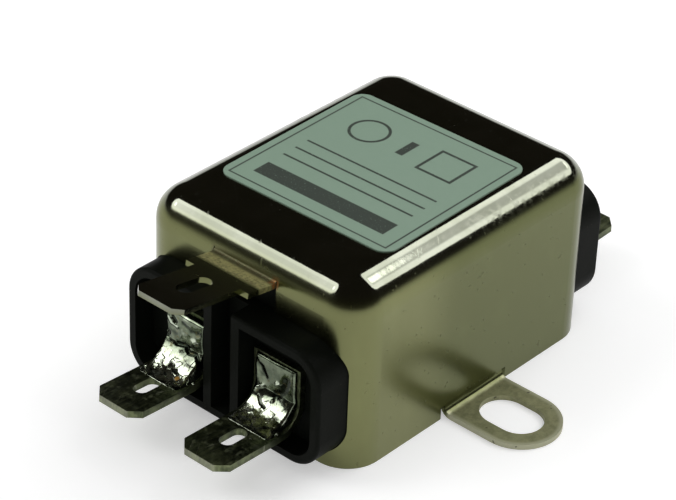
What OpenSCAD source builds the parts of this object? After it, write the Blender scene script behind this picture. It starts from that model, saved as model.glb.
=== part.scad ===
// EMI line filter: a drawn steel can with bent-out mounting ears and earth tab,
// two moulded terminal blocks with soldered blade terminals, and the choke,
// capacitors and bleed resistor that the can holds.
// Frame: origin at the centre of the can's open rim, +X towards the load end, +Z up.

/* [Can] */
// Length of the can, from end wall to end wall
can_length = 39; // [39:0.5:60]
// Width of the can
can_width = 30; // [30:0.5:50]
// Height of the can
can_height = 21.7; // [21:0.1:24]
// Thickness of the steel sheet
sheet = 0.6; // [0.5:0.1:0.9]
// Radius of the can's top edges
edge_radius = 3.8; // [2.5:0.1:4]
// Radius of the can's upright corners
corner_radius = 4.2; // [4.1:0.1:5.5]

/* [Mounting ears] */
// Width of each ear
ear_width = 9.3; // [7.5:0.1:14]
// Reach of each ear from the can's side wall
ear_reach = 10.8; // [10.4:0.1:16]
// Width of the fixing slot
slot_width = 5.3; // [3:0.1:6]
// Length of the fixing slot, end to end
slot_length = 7.3; // [6.4:0.1:7.5]
// Distance between the two slots' centres, beyond the can's width
slot_spread = 10.5; // [10.2:0.1:11]
// Inside radius of the bend between wall and ear
ear_bend = 0.8; // [0.4:0.1:1.2]
// Width of the relief cut beside each ear
relief = 0.6; // [0.3:0.1:1]

/* [Earth tab] */
// Width of the tab where it leaves the wall
earth_base_width = 8.6; // [7:0.1:12]
// Length of that wide base
earth_base_length = 4.1; // [2:0.1:4.6]
// Reach of the tab from the end wall
earth_reach = 12.6; // [11:0.1:12.6]
// Height of the tab's top face where it leaves the wall
earth_height = 18.75; // [17.5:0.05:18.9]
// Upward lean of the tab, in degrees
earth_lean = 9.5; // [0:0.5:12]
// Length of the tab's eye, end to end
earth_eye_length = 4.5; // [3:0.1:5]
// Inside radius of the bend between wall and tab
earth_bend = 0.4; // [0.2:0.1:0.8]

/* [Terminal blocks] */
// Distance from the can's side to a block's side
block_inset = 1.55; // [1.5:0.05:2.2]
// Height of a block's underside above the can's rim
block_bottom = 1.25; // [1:0.05:2]
// Height of a block's top above the can's rim
block_top = 15.1; // [14:0.1:16]
// How far a block stands out from the end wall
block_depth = 3.25; // [3:0.05:4]
// Radius of a block's corners
block_radius = 3.7; // [2.5:0.1:5]
// Radius of a block's front edge
block_edge = 0.4; // [0.2:0.1:0.6]
// Thickness of the rim round each pocket
rim = 1.1; // [0.8:0.1:1.3]
// Width of the slot between the two pocket housings
pocket_gap = 2.7; // [1.5:0.1:3]
// Depth of the pockets
pocket_depth = 2.65; // [2:0.05:3]
// Thickness of the floor behind the pockets
floor_thickness = 1.2; // [0.8:0.1:1.6]
// Thickness of the sealing flange inside the can
flange = 1.4; // [1:0.1:2]
// Height of the flange's top
flange_top = 19.4; // [19.2:0.1:20]

/* [Terminals] */
// Width of every blade
blade_width = 6.35; // [4.8:0.05:6.4]
// Thickness of every blade
blade_thickness = 0.8; // [0.5:0.1:0.8]
// Distance between the two blades' centre lines
blade_pitch = 12.2; // [11.8:0.1:13.2]
// Reach of the blades from the end wall
blade_reach = 12.6; // [11.8:0.1:16]
// Height of a blade's top face where it leaves its bend
blade_height = 4.65; // [4.4:0.05:5]
// Height of the top of a terminal's upright leg
leg_top = 11.1; // [10.5:0.1:12]
// Inside radius of the bend between leg and blade
blade_bend = 2.6; // [1.5:0.1:3]
// Upward lean of the first blade at each end, in degrees
blade_lean_1 = 4; // [0:0.5:6]
// Upward lean of the second blade at each end, in degrees
blade_lean_2 = 2.5; // [0:0.5:6]
// Height of the soldered wire end
joint_height = 8; // [7.6:0.1:8.4]
// Thickness of the solder on the first terminal's leg
solder_coat_1 = 0.9; // [0.2:0.1:1.1]
// Thickness of the solder on the second terminal's leg
solder_coat_2 = 0.4; // [0.2:0.1:1.1]

/* [Choke] */
// Outer diameter of the ferrite ring
core_outer = 18; // [15:0.5:18]
// Bore of the ferrite ring
core_bore = 9.6; // [9:0.2:10.4]
// Height of the ferrite ring
core_height = 8; // [6:0.5:8.5]
// Diameter of the enamelled wire
wire_diameter = 1; // [0.6:0.1:1]
// Turns of each winding
turns = 9; // [5:1:9]

/* [Other parts inside] */
// Length of the line capacitor's case, across the can
x_cap_length = 17.5; // [16.5:0.5:18]
// Height of the line capacitor's case, which lies along the can
x_cap_depth = 11; // [8:0.5:12]
// Free height above the line capacitor's case
x_cap_room = 2; // [0.5:0.1:2.5]
// Free height above the two disc capacitors
disc_room = 1.4; // [0.5:0.1:2.5]
// Thickness of the two disc capacitors
disc_thickness = 3.4; // [2.6:0.1:3.8]
// Length of the bleed resistor's body
resistor_length = 6.3; // [4:0.1:7]
// Diameter of the bleed resistor's body
resistor_diameter = 2.3; // [1.6:0.1:2.5]
// Diameter of the tinned component leads
lead_diameter = 0.6; // [0.4:0.1:0.8]
// Thickness of the resin layer that closes the can
resin_depth = 2.8; // [2:0.1:3]
// Set-back of the resin from the can's rim
resin_inset = 0.6; // [0.3:0.1:0.8]

/* [Label] */
// Length of the label, along the can
label_length = 23; // [10:0.1:28]
// Width of the label, across the can
label_width = 23; // [10:0.1:25]
// Shift of the label towards the line end
label_shift = 0.15; // [-0.5:0.05:0.5]
// Turn of the label on the can, in degrees
label_turn = 1.1; // [-3:0.1:3]

/* [Hidden] */
$fn = 48;
cut = 1;                                    // how far a cutting shape runs past a face
clearance = 0.1;                            // gap round the flange and the wires' holes
touch = 0.02;                               // small gap at a lead's end, or overlap at a root

label_thickness = 0.12;
label_radius = 1.6;
film_thickness = 0.3;

wall_x = can_length / 2;                    // outer face of an end wall
side_y = can_width / 2;                     // outer face of a side wall
ceiling = can_height - sheet;               // inner face of the can's top
block_width = can_width - 2 * block_inset;
flange_back = wall_x - sheet - flange;
pocket_floor = wall_x + block_depth - pocket_depth;
leg_front = pocket_floor + blade_thickness;

tip_chamfer = 1.2;                          // corner cut at a blade's tip
eye = [3.4, 1.7, 4.9];                      // slot through a blade: length, width, to the tip
earth_tip_chamfer = 0.9;
earth_eye = [earth_eye_length, 1.8, 5.5];
bend_x = -leg_front - blade_bend;           // centre of a terminal's bend
bend_z = blade_height + blade_bend;
solder_margin = 0.2;                        // bare metal left beside the solder
solder_toe = 1.2;                           // how far the solder runs out on the blade
bead_radius = 1.4;                          // solder over the wire's end
bead_sink = 0.9;                            // depth of the bead's centre behind the coat
wire_y = blade_pitch / 2;                   // the windings' ends run behind the blades

core_mid_radius = (core_outer + core_bore) / 4;
core_section = (core_outer - core_bore) / 2;
core_round = 0.8;
lacquer = 0.05;                             // gap between wire and ferrite
resin_top = resin_inset + resin_depth;
choke_z = resin_top + wire_diameter + lacquer + core_height / 2;
winding_top = choke_z + core_height / 2 + lacquer + wire_diameter;
divider_thickness = 1;
winding_margin = 22;                        // angle between the divider and a winding's end

tap_z = joint_height + wire_diameter / 2 + touch;   // where a lead meets a winding's end
straight = 4.2;                             // straight wire at each end behind the flange
wire_curve = 1.2;                           // size of the curve where a winding turns outwards
lead_curve = 0.7;                           // size of the curves in the tinned leads
drop_radius = 0.85;                         // solder round a lead's tip
drop_sink = 0.2;                            // how far the drop's centre lies below the tip
earth_drop_radius = 1.4;                    // solder at a lead's end on the can's wall

x_cap_bottom = winding_top + clearance;
x_cap_thickness = ceiling - film_thickness - x_cap_room - x_cap_bottom;
x_cap_pitch = 15;                           // distance between the case's two leads
x_cap_corner = 0.8;
x_cap_edge = 0.5;
x_cap_tap = -(flange_back - 1.1);
resistor_x = -(flange_back - 3);
resistor_z = joint_height + 3.6;
resistor_cap = 1.4;                         // length of the wider end over each cap
resistor_waist = 0.4;                       // how much thinner the body is between them
disc_x = flange_back - 2.4;
disc_y = wire_y + 0.4;
disc_bottom = joint_height + 3.2;
disc_diameter = ceiling - film_thickness - disc_room - disc_bottom;
disc_z = disc_bottom + disc_diameter / 2;
disc_round = 1.2;
disc_pitch = 4;                             // distance between a disc's two leads
socket = 1;                                 // how deep a lead sits in a disc
earth_z = (tap_z + disc_bottom) / 2;        // where the discs' outer leads meet the can

// ---- shapes that repeat -------------------------------------------------

// a rectangle about the origin with round corners
module round_rect(length, width, radius) {
    square([length - 2 * radius, width], center = true);
    square([length, width - 2 * radius], center = true);
    for (sx = [-1, 1], sy = [-1, 1])
        translate([sx * (length / 2 - radius), sy * (width / 2 - radius)])
            circle(radius);
}

// an upright profile on the X axis with its two top corners rounded
module arch(width, height, radius) {
    translate([-width / 2, 0]) square([width, height - radius]);
    translate([-width / 2 + radius, 0]) square([width - 2 * radius, height]);
    for (s = [-1, 1])
        translate([s * (width / 2 - radius), height - radius]) circle(radius);
}

// a block on z = 0 with upright corners of one radius and top edges of a smaller one
module soft_block(length, width, height, corner, edge) {
    translate([corner - length / 2, 0, 0]) rotate([90, 0, 90])
        linear_extrude(length - 2 * corner) arch(width, height, edge);
    translate([0, width / 2 - corner, 0]) rotate([90, 0, 0])
        linear_extrude(width - 2 * corner) arch(length, height, edge);
    for (sx = [-1, 1], sy = [-1, 1])
        translate([sx * (length / 2 - corner), sy * (width / 2 - corner), 0])
            rotate_extrude() intersection() {
                arch(2 * corner, height, edge);
                square([corner, height]);
            }
}

// a slot's outline along X, about the origin
module slot_shape(length, width) {
    square([length - width, width], center = true);
    for (s = [-1, 1])
        translate([s * (length - width) / 2, 0]) circle(width / 2);
}

// bent sheet, width wide along Y: it starts on the side facing +X of the bend's centre,
// and turns downwards and towards -X through angle
module bend(inside, thickness, width, angle) {
    rotate([90, 0, 0]) rotate([0, 0, -angle]) rotate_extrude(angle = angle)
        translate([inside, -width / 2]) square([thickness, width]);
}

// a push-on blade seen from above, from the origin to its chamfered tip, with its eye
module blade_shape(length, chamfer, eye) {
    half = blade_width / 2;
    shoulder = chamfer - length;
    difference() {
        polygon([[0, -half], [shoulder, -half], [-length, chamfer - half],
                 [-length, half - chamfer], [shoulder, half], [0, half]]);
        translate([eye[2] - length, 0]) slot_shape(eye[0], eye[1]);
    }
}

// an outline in the YZ plane, made solid from x = from to x = to
module along_x(from, to) {
    translate([from, 0, 0]) rotate([90, 0, 90]) linear_extrude(to - from) children();
}

// ---- wires: a round section carried along a path ------------------------

function unit(v) = v / norm(v);

// the path with each inner corner replaced by three points on a curve of the given size
function rounded(path, size) = [
    for (i = [0:len(path) - 1])
        each (i == 0 || i == len(path) - 1) ? [path[i]] :
            let (p = path[i],
                 a = p + size * unit(path[i - 1] - p),
                 b = p + size * unit(path[i + 1] - p))
            [a, (a + b) / 4 + p / 2, b]];

// direction of the path at each of its points
function headings(path) = [
    for (i = [0:len(path) - 1])
        unit(path[min(i + 1, len(path) - 1)] - path[max(i - 1, 0)])];

// a side vector at each point, carried along the path without twist
function carried(dirs, first) = [
    for (i = 0, s = unit(first - (first * dirs[0]) * dirs[0]); i < len(dirs);
         i = i + 1,
         s = i < len(dirs) ? unit(s - (s * dirs[i]) * dirs[i]) : s)
        s];

module wire(path, diameter, first) {
    faces = 8;
    dirs = headings(path);
    ups = carried(dirs, first);
    last = len(path) - 1;
    points = [for (i = [0:last], k = [0:faces - 1])
        let (a = 360 * k / faces)
        path[i] + diameter / 2 * (cos(a) * ups[i] + sin(a) * cross(dirs[i], ups[i]))];
    skin = [for (i = [0:last - 1], k = [0:faces - 1])
        let (n = (k + 1) % faces)
        [i * faces + k, (i + 1) * faces + k, (i + 1) * faces + n, i * faces + n]];
    caps = [[for (k = [0:faces - 1]) k],
            [for (k = [faces - 1:-1:0]) last * faces + k]];
    polyhedron(points, concat(skin, caps), convexity = 10);
}

// ---- can ----------------------------------------------------------------

// the can's outer form, grown or shrunk all round
module can_form(grow) {
    soft_block(can_length + 2 * grow, can_width + 2 * grow, can_height + grow,
               corner_radius + grow, edge_radius + grow);
}

// distance of an end wall's outer face from the origin at height z
function wall_at(z) =
    let (rise = max(0, z - (can_height - edge_radius)))
    wall_x - edge_radius + sqrt(edge_radius * edge_radius - rise * rise);

// the window that a block stands through, along +X from the origin
module window() {
    along_x(0, wall_x + cut) translate([0, (block_top + block_bottom) / 2])
        round_rect(block_width + 2 * clearance, block_top - block_bottom + 2 * clearance,
                   block_radius + clearance);
}

// an ear and its bend, along -X from a wall whose outer face is at x = 0
module ear() {
    tip = ear_width / 2 - ear_reach;
    translate([-ear_bend, 0, sheet + ear_bend]) bend(ear_bend, sheet, ear_width, 90);
    linear_extrude(sheet) difference() {
        union() {
            translate([tip, -ear_width / 2]) square([-tip - ear_bend, ear_width]);
            translate([tip, 0]) circle(ear_width / 2);
        }
        translate([-slot_spread / 2, 0]) slot_shape(slot_length, slot_width);
    }
}

// the earth tab and its bend, along -X from the line end's wall
earth_root_z = earth_height + earth_bend;
earth_root_x = wall_at(earth_root_z) - touch;
module earth_tab() {
    base = earth_base_length - earth_bend;
    reach = (wall_x + earth_reach - earth_root_x - earth_bend
             - (earth_bend + sheet) * sin(earth_lean)) / cos(earth_lean);
    translate([-earth_root_x - earth_bend, 0, earth_root_z]) {
        bend(earth_bend, sheet, earth_base_width, 90 + earth_lean);
        rotate([0, earth_lean, 0]) translate([0, 0, -earth_bend - sheet])
            linear_extrude(sheet) {
                translate([-base, -earth_base_width / 2]) square([base, earth_base_width]);
                translate([-base, 0]) blade_shape(reach - base, earth_tip_chamfer, earth_eye);
            }
    }
}

module can() {
    ear_gap = ear_width + 2 * relief;
    tab_gap = earth_base_width + 2 * clearance;
    notch_bottom = block_top - block_radius;
    color("silver") {
        difference() {
            can_form(0);
            translate([0, 0, -cut])
                soft_block(can_length - 2 * sheet, can_width - 2 * sheet, ceiling + cut,
                           corner_radius - sheet, edge_radius - sheet);
            window();
            mirror([1, 0, 0]) window();
            // the wall's foot gives way to each ear's bend
            for (s = [-1, 1])
                translate([-ear_gap / 2, s * side_y - cut, -cut])
                    cube([ear_gap, 2 * cut, cut + sheet + ear_bend]);
            // the tab's blank leaves a notch above the line window
            translate([-wall_x - cut, -tab_gap / 2, notch_bottom])
                cube([cut + sheet + wall_x - earth_root_x + cut, tab_gap,
                      earth_root_z - touch - notch_bottom]);
        }
        for (turn = [90, -90])
            rotate([0, 0, turn]) translate([-side_y, 0, 0]) ear();
        earth_tab();
    }
}

// ---- terminal blocks, as they stand at the load end ---------------------

// the two pockets' openings
module pocket_faces() {
    difference() {
        translate([0, (block_top + block_bottom) / 2])
            round_rect(block_width - 2 * rim, block_top - block_bottom - 2 * rim,
                       block_radius - rim);
        translate([-pocket_gap / 2 - rim, 0]) square([pocket_gap + 2 * rim, can_height]);
    }
}

// the block's body, its softened front edge and its sealing flange
module block_form() {
    translate([flange_back, 0, (block_top + block_bottom) / 2]) rotate([0, 90, 0])
        soft_block(block_top - block_bottom, block_width, wall_x + block_depth - flange_back,
                   block_radius, block_edge);
    intersection() {
        can_form(-sheet - clearance);
        translate([flange_back, -side_y, block_bottom / 2])
            cube([flange, can_width, flange_top - block_bottom / 2]);
    }
}

module block() {
    color([0.09, 0.09, 0.09]) difference() {
        block_form();
        along_x(pocket_floor, pocket_floor + pocket_depth + cut) pocket_faces();
        along_x(flange_back - cut, pocket_floor - floor_thickness) pocket_faces();
        // the slot between the housings is open at the top and closed by a web below
        translate([pocket_floor, -pocket_gap / 2, block_bottom + rim])
            cube([pocket_depth + cut, pocket_gap, block_top]);
        for (s = [-1, 1])
            translate([flange_back, s * wire_y, joint_height]) rotate([0, 90, 0])
                cylinder(d = wire_diameter + 2 * clearance, h = pocket_floor - flange_back + cut);
    }
}

// ---- terminals and their solder, as they stand at the line end ----------

// a strip bent into an upright leg and a blade that points along -X
module terminal(lean) {
    reach = (wall_x + blade_reach + bend_x - (blade_bend + blade_thickness) * sin(lean))
            / cos(lean);
    color([0.74, 0.73, 0.66]) {
        difference() {
            translate([-leg_front, -blade_width / 2, bend_z])
                cube([blade_thickness, blade_width, leg_top - bend_z]);
            translate([-leg_front - cut, 0, joint_height]) rotate([0, 90, 0])
                cylinder(d = wire_diameter + 2 * clearance, h = blade_thickness + 2 * cut);
        }
        translate([bend_x, 0, bend_z]) {
            bend(blade_bend, blade_thickness, blade_width, 90 + lean);
            rotate([0, lean, 0]) translate([0, 0, -blade_bend - blade_thickness])
                linear_extrude(blade_thickness) blade_shape(reach, tip_chamfer, eye);
        }
    }
}

// solder's section in a terminal's bend, about the bend's centre: a coat up the leg, and
// a hollow fillet that leaves the coat's foot and meets the blade at a flat angle
module solder_section(coat, lean) {
    toe = coat + solder_toe;
    meeting = 10;                           // angle between the solder and the blade
    leg_point = [blade_bend - coat, 0];
    toe_point = [-toe * cos(lean) - blade_bend * sin(lean),
                 toe * sin(lean) - blade_bend * cos(lean)];
    chord = leg_point - toe_point;
    to_centre = [-sin(meeting - lean), cos(meeting - lean)];
    hollow = chord * chord / (2 * chord * to_centre);
    translate(leg_point) square([coat, leg_top - bend_z - solder_margin]);
    difference() {
        intersection() {
            rotate(-lean) {
                intersection() {
                    circle(blade_bend);
                    translate([0, -2 * blade_bend]) square([2 * blade_bend, 4 * blade_bend]);
                }
                translate([-toe, -blade_bend]) square([toe, blade_bend]);
            }
            translate([-2 * toe, -2 * blade_bend]) square([2 * toe + blade_bend, 2 * blade_bend]);
        }
        translate(toe_point + hollow * to_centre) circle(hollow, $fn = 96);
    }
}

// the coat, its fillet and a bead over the wire's end
module solder(coat, lean) {
    width = blade_width - 2 * solder_margin;
    color([0.8, 0.81, 0.8]) {
        translate([bend_x, width / 2, bend_z]) rotate([90, 0, 0]) linear_extrude(width)
            solder_section(coat, lean);
        translate([-leg_front - coat / 2, 0, joint_height]) rotate([0, -90, 0])
            rotate_extrude() intersection() {
                translate([0, coat / 2 - bead_sink]) circle(bead_radius);
                square(bead_radius + coat);
            }
    }
}

// ---- choke --------------------------------------------------------------

module core() {
    color([0.2, 0.2, 0.22]) translate([0, 0, choke_z]) rotate_extrude()
        translate([core_mid_radius, 0]) round_rect(core_section, core_height, core_round);
}

// a plate across the ring's bore that keeps the two windings apart
module divider() {
    length = core_bore - 4 * clearance;
    color("ivory") translate([-length / 2, -divider_thickness / 2, resin_top])
        cube([length, divider_thickness, winding_top - resin_top]);
}

// one turn round the ring's section, four points at each rounded corner
turn_path = [
    for (corner = [[1, 1, 0], [-1, 1, 90], [-1, -1, 180], [1, -1, 270]], a = [0, 30, 60, 90])
        let (r = core_round + lacquer + wire_diameter / 2)
        [corner[0] * (core_section / 2 - core_round) + r * cos(corner[2] + a),
         corner[1] * (core_height / 2 - core_round) + r * sin(corner[2] + a)]];

// the turns on the side y > 0, from the line end to the load end
function coil() =
    let (steps = turns * len(turn_path))
    [for (i = [0:steps - 1])
        let (p = turn_path[i % len(turn_path)],
             a = 180 - winding_margin - (180 - 2 * winding_margin) * i / (steps - 1))
        [(core_mid_radius + p[0]) * cos(a), (core_mid_radius + p[0]) * sin(a), choke_z + p[1]]];

// the wire's way from a coil's last point out through the leg; s is the end's side
function wire_end(p, s) = rounded([
    [p[0] * 1.15, p[1] * 1.15, (joint_height + p[2]) / 2],
    [s * (flange_back - straight - wire_curve), wire_y, joint_height],
    [s * leg_front, wire_y, joint_height]], wire_curve);

function reversed(list) = [for (i = [len(list) - 1:-1:0]) list[i]];

module winding() {
    path = coil();
    color([0.72, 0.35, 0.16])
        wire(concat(reversed(wire_end(path[0], -1)), path, wire_end(path[len(path) - 1], 1)),
             wire_diameter, [0, 0, 1]);
}

// ---- capacitors, resistor and their solder ------------------------------

module x_capacitor() {
    color([0.85, 0.7, 0.2]) translate([0, 0, x_cap_bottom])
        soft_block(x_cap_depth, x_cap_length, x_cap_thickness, x_cap_corner, x_cap_edge);
}

module x_capacitor_leads() {
    y = x_cap_pitch / 2;
    z = x_cap_bottom + x_cap_thickness / 2;
    drop = z - tap_z;
    color("lightgrey") for (s = [-1, 1])
        wire(rounded([[-x_cap_depth / 2, s * y, z], [x_cap_tap, s * y, z],
                      [x_cap_tap, s * y, tap_z + 0.45 * drop],
                      [x_cap_tap, s * wire_y, tap_z + 0.2 * drop],
                      [x_cap_tap, s * wire_y, tap_z]], lead_curve),
             lead_diameter, [0, 1, 0]);
}

// a disc on edge across the can, with two sockets for its leads
module y_capacitor() {
    color([0.2, 0.4, 0.7]) difference() {
        translate([disc_x, disc_y, disc_z]) rotate([0, 90, 0]) rotate_extrude()
            intersection() {
                round_rect(disc_diameter, disc_thickness, disc_round);
                translate([0, -disc_thickness]) square([disc_diameter, 2 * disc_thickness]);
            }
        for (s = [-1, 1])
            translate([disc_x, disc_y + s * disc_pitch / 2, disc_bottom - cut])
                cylinder(d = lead_diameter, h = cut + socket + touch);
    }
}

// the inner lead drops to the winding's end, the outer one runs out to the can's wall
module y_capacitor_leads() {
    top = disc_bottom + socket;
    drop = disc_bottom - tap_z;
    inner = disc_y - disc_pitch / 2;
    outer = disc_y + disc_pitch / 2;
    color("lightgrey") for (s = [-1, 1]) {
        wire(rounded([[disc_x, s * inner, top], [disc_x, s * inner, tap_z + 0.8 * drop],
                      [disc_x, s * wire_y, tap_z + 0.45 * drop], [disc_x, s * wire_y, tap_z]],
                     lead_curve),
             lead_diameter, [1, 0, 0]);
        wire(rounded([[disc_x, s * outer, top], [disc_x, s * outer, earth_z],
                      [disc_x, s * (side_y - sheet - touch), earth_z]], lead_curve),
             lead_diameter, [1, 0, 0]);
    }
}

module bleed_resistor() {
    color([0.45, 0.62, 0.72]) translate([resistor_x, -resistor_length / 2, resistor_z])
        rotate([-90, 0, 0]) {
            cylinder(d = resistor_diameter - resistor_waist, h = resistor_length);
            cylinder(d = resistor_diameter, h = resistor_cap);
            translate([0, 0, resistor_length - resistor_cap])
                cylinder(d = resistor_diameter, h = resistor_cap);
        }
}

module resistor_leads() {
    color("lightgrey") for (s = [-1, 1])
        wire(rounded([[resistor_x, s * resistor_length / 2, resistor_z],
                      [resistor_x, s * wire_y, resistor_z], [resistor_x, s * wire_y, tap_z]],
                     lead_curve),
             lead_diameter, [1, 0, 0]);
}

// a drop of solder where each lead meets a winding's end
module lead_solder() {
    color([0.8, 0.81, 0.8]) for (x = [x_cap_tap, resistor_x, disc_x], s = [-1, 1])
        difference() {
            translate([x, s * wire_y, tap_z - drop_sink]) sphere(drop_radius);
            translate([x - cut, s * wire_y, joint_height]) rotate([0, 90, 0])
                cylinder(d = wire_diameter, h = 2 * cut);
            translate([x, s * wire_y, joint_height])
                cylinder(d = lead_diameter, h = wire_diameter + drop_radius);
        }
}

// a drop of solder where each disc's outer lead meets the can's inner face
module earth_solder() {
    wall = side_y - sheet;
    color([0.8, 0.81, 0.8]) for (s = [-1, 1])
        difference() {
            intersection() {
                translate([disc_x, s * wall, earth_z]) sphere(earth_drop_radius);
                can_form(-sheet);
            }
            translate([disc_x, s * wall, earth_z]) rotate([s * 90, 0, 0])
                cylinder(d = lead_diameter, h = 2 * earth_drop_radius);
        }
}

// ---- sheet, resin and label ---------------------------------------------

// an insulating sheet on the flat of the can's ceiling
module insulating_sheet() {
    inset = edge_radius + clearance;
    color([0.9, 0.85, 0.6]) translate([0, 0, ceiling - film_thickness])
        linear_extrude(film_thickness)
            square([can_length - 2 * inset, can_width - 2 * inset], center = true);
}

module sealing_resin() {
    color([0.12, 0.12, 0.13]) intersection() {
        can_form(-sheet);
        translate([-flange_back, -side_y, resin_inset])
            cube([2 * flange_back, can_width, resin_depth]);
    }
}

// paper that follows the can's top and the start of its rounded edges
module label() {
    color([0.83, 0.85, 0.8]) difference() {
        intersection() {
            can_form(label_thickness);
            translate([-label_shift, 0, can_height - edge_radius]) rotate([0, 0, label_turn])
                linear_extrude(edge_radius + cut)
                    round_rect(label_length, label_width, label_radius);
        }
        can_form(0);
    }
}

// ---- the pieces in their places -----------------------------------------

// one of a pair at an end: end 1 is the load end, side 1 is the side y > 0
module at(end, side) {
    mirror([end > 0 ? 1 : 0, 0, 0]) translate([0, side * wire_y, 0]) children();
}

module line_block() { mirror([1, 0, 0]) block(); }
module load_block() { block(); }
module line_terminal_1() { at(-1, 1) terminal(blade_lean_1); }
module line_terminal_2() { at(-1, -1) terminal(blade_lean_2); }
module load_terminal_1() { at(1, 1) terminal(blade_lean_1); }
module load_terminal_2() { at(1, -1) terminal(blade_lean_2); }
module line_solder_1() { at(-1, 1) solder(solder_coat_1, blade_lean_1); }
module line_solder_2() { at(-1, -1) solder(solder_coat_2, blade_lean_2); }
module load_solder_1() { at(1, 1) solder(solder_coat_1, blade_lean_1); }
module load_solder_2() { at(1, -1) solder(solder_coat_2, blade_lean_2); }
module choke_core() { core(); }
module core_divider() { divider(); }
module winding_1() { winding(); }
module winding_2() { mirror([0, 1, 0]) winding(); }
module y_capacitor_1() { y_capacitor(); }
module y_capacitor_2() { mirror([0, 1, 0]) y_capacitor(); }

can();
line_block();
load_block();
line_terminal_1();
line_terminal_2();
load_terminal_1();
load_terminal_2();
line_solder_1();
line_solder_2();
load_solder_1();
load_solder_2();
choke_core();
core_divider();
winding_1();
winding_2();
x_capacitor();
x_capacitor_leads();
y_capacitor_1();
y_capacitor_2();
y_capacitor_leads();
bleed_resistor();
resistor_leads();
lead_solder();
earth_solder();
insulating_sheet();
sealing_resin();
label();
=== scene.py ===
import math

import bpy
import numpy as np
from mathutils import Matrix, Vector


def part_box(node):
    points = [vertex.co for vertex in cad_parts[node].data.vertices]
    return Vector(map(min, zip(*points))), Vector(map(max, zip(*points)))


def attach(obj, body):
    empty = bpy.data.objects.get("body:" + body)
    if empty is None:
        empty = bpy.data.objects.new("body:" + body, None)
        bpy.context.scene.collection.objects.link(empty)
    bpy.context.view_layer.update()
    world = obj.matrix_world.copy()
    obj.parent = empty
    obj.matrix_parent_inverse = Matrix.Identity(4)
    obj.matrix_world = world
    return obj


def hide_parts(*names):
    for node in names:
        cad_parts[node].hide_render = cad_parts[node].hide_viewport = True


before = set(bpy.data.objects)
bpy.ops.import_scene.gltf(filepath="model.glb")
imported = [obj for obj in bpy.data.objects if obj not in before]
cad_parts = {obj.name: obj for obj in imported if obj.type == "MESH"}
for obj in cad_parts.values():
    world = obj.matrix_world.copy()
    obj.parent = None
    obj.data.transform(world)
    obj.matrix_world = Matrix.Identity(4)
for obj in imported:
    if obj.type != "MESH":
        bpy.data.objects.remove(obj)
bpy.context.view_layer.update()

scene = bpy.context.scene
MM = 0.001

# ---- view ----------------------------------------------------------------
# The filter is looked down on from its line end and its -Y side with a long lens, so its
# edges stay nearly parallel. The camera leans by a couple of degrees.
CAMERA_PLACE = Vector((-0.18495, -0.15589, 0.16952))
CAMERA_TARGET = Vector((-0.00049, 0.00415, 0.010))
CAMERA_LEAN = math.radians(2.204)
SENSOR_WIDTH, LENS = 36, 145.1

camera = bpy.data.objects.new("camera", bpy.data.cameras.new("camera"))
scene.collection.objects.link(camera)
camera.data.sensor_width = SENSOR_WIDTH
camera.data.lens = LENS
camera.data.clip_start = 0.01
camera.location = CAMERA_PLACE
look = (CAMERA_TARGET - CAMERA_PLACE).to_track_quat("-Z", "Y").to_matrix().to_4x4()
camera.rotation_euler = (look @ Matrix.Rotation(CAMERA_LEAN, 4, "Z")).to_euler()
scene.camera = camera
scene.view_settings.view_transform = "Standard"


# ---- table ---------------------------------------------------------------
# A wide sheet of white board that the filter stands on. The polished walls mirror it.
class Socket:
    """A shader socket. Arithmetic on it adds Math nodes to the same tree."""

    def __init__(self, tree, socket):
        self.tree, self.socket = tree, socket

    def math(self, operation, *others):
        return Shader(self.tree).node("ShaderNodeMath", {"operation": operation},
                                      dict(enumerate((self,) + others)))

    def __add__(self, other): return self.math("ADD", other)
    def __radd__(self, other): return self.math("ADD", other)
    def __sub__(self, other): return self.math("SUBTRACT", other)
    def __rsub__(self, other): return (self * -1).math("ADD", other)
    def __mul__(self, other): return self.math("MULTIPLY", other)
    def __pow__(self, other): return self.math("POWER", other)
    def __abs__(self): return self.math("ABSOLUTE")

    def smooth(self, low, high):
        """0 below low, 1 above high, and a smooth step between them"""
        return Shader(self.tree).node("ShaderNodeMapRange", {"interpolation_type": "SMOOTHSTEP"},
                                      {"Value": self, "From Min": low, "From Max": high})

    def within(self, low, high, soft):
        """1 from low to high, and 0 outside, with soft edges"""
        return self.smooth(low - soft, low + soft) * (1 - self.smooth(high - soft, high + soft))


def fill(socket, value):
    """Links a node's socket to a Socket, or sets it. A colour gets its fourth number here."""
    if isinstance(value, Socket):
        value.tree.links.new(value.socket, socket)
    elif socket.type == "RGBA":
        socket.default_value = (*value, 1)
    else:
        socket.default_value = value


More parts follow.
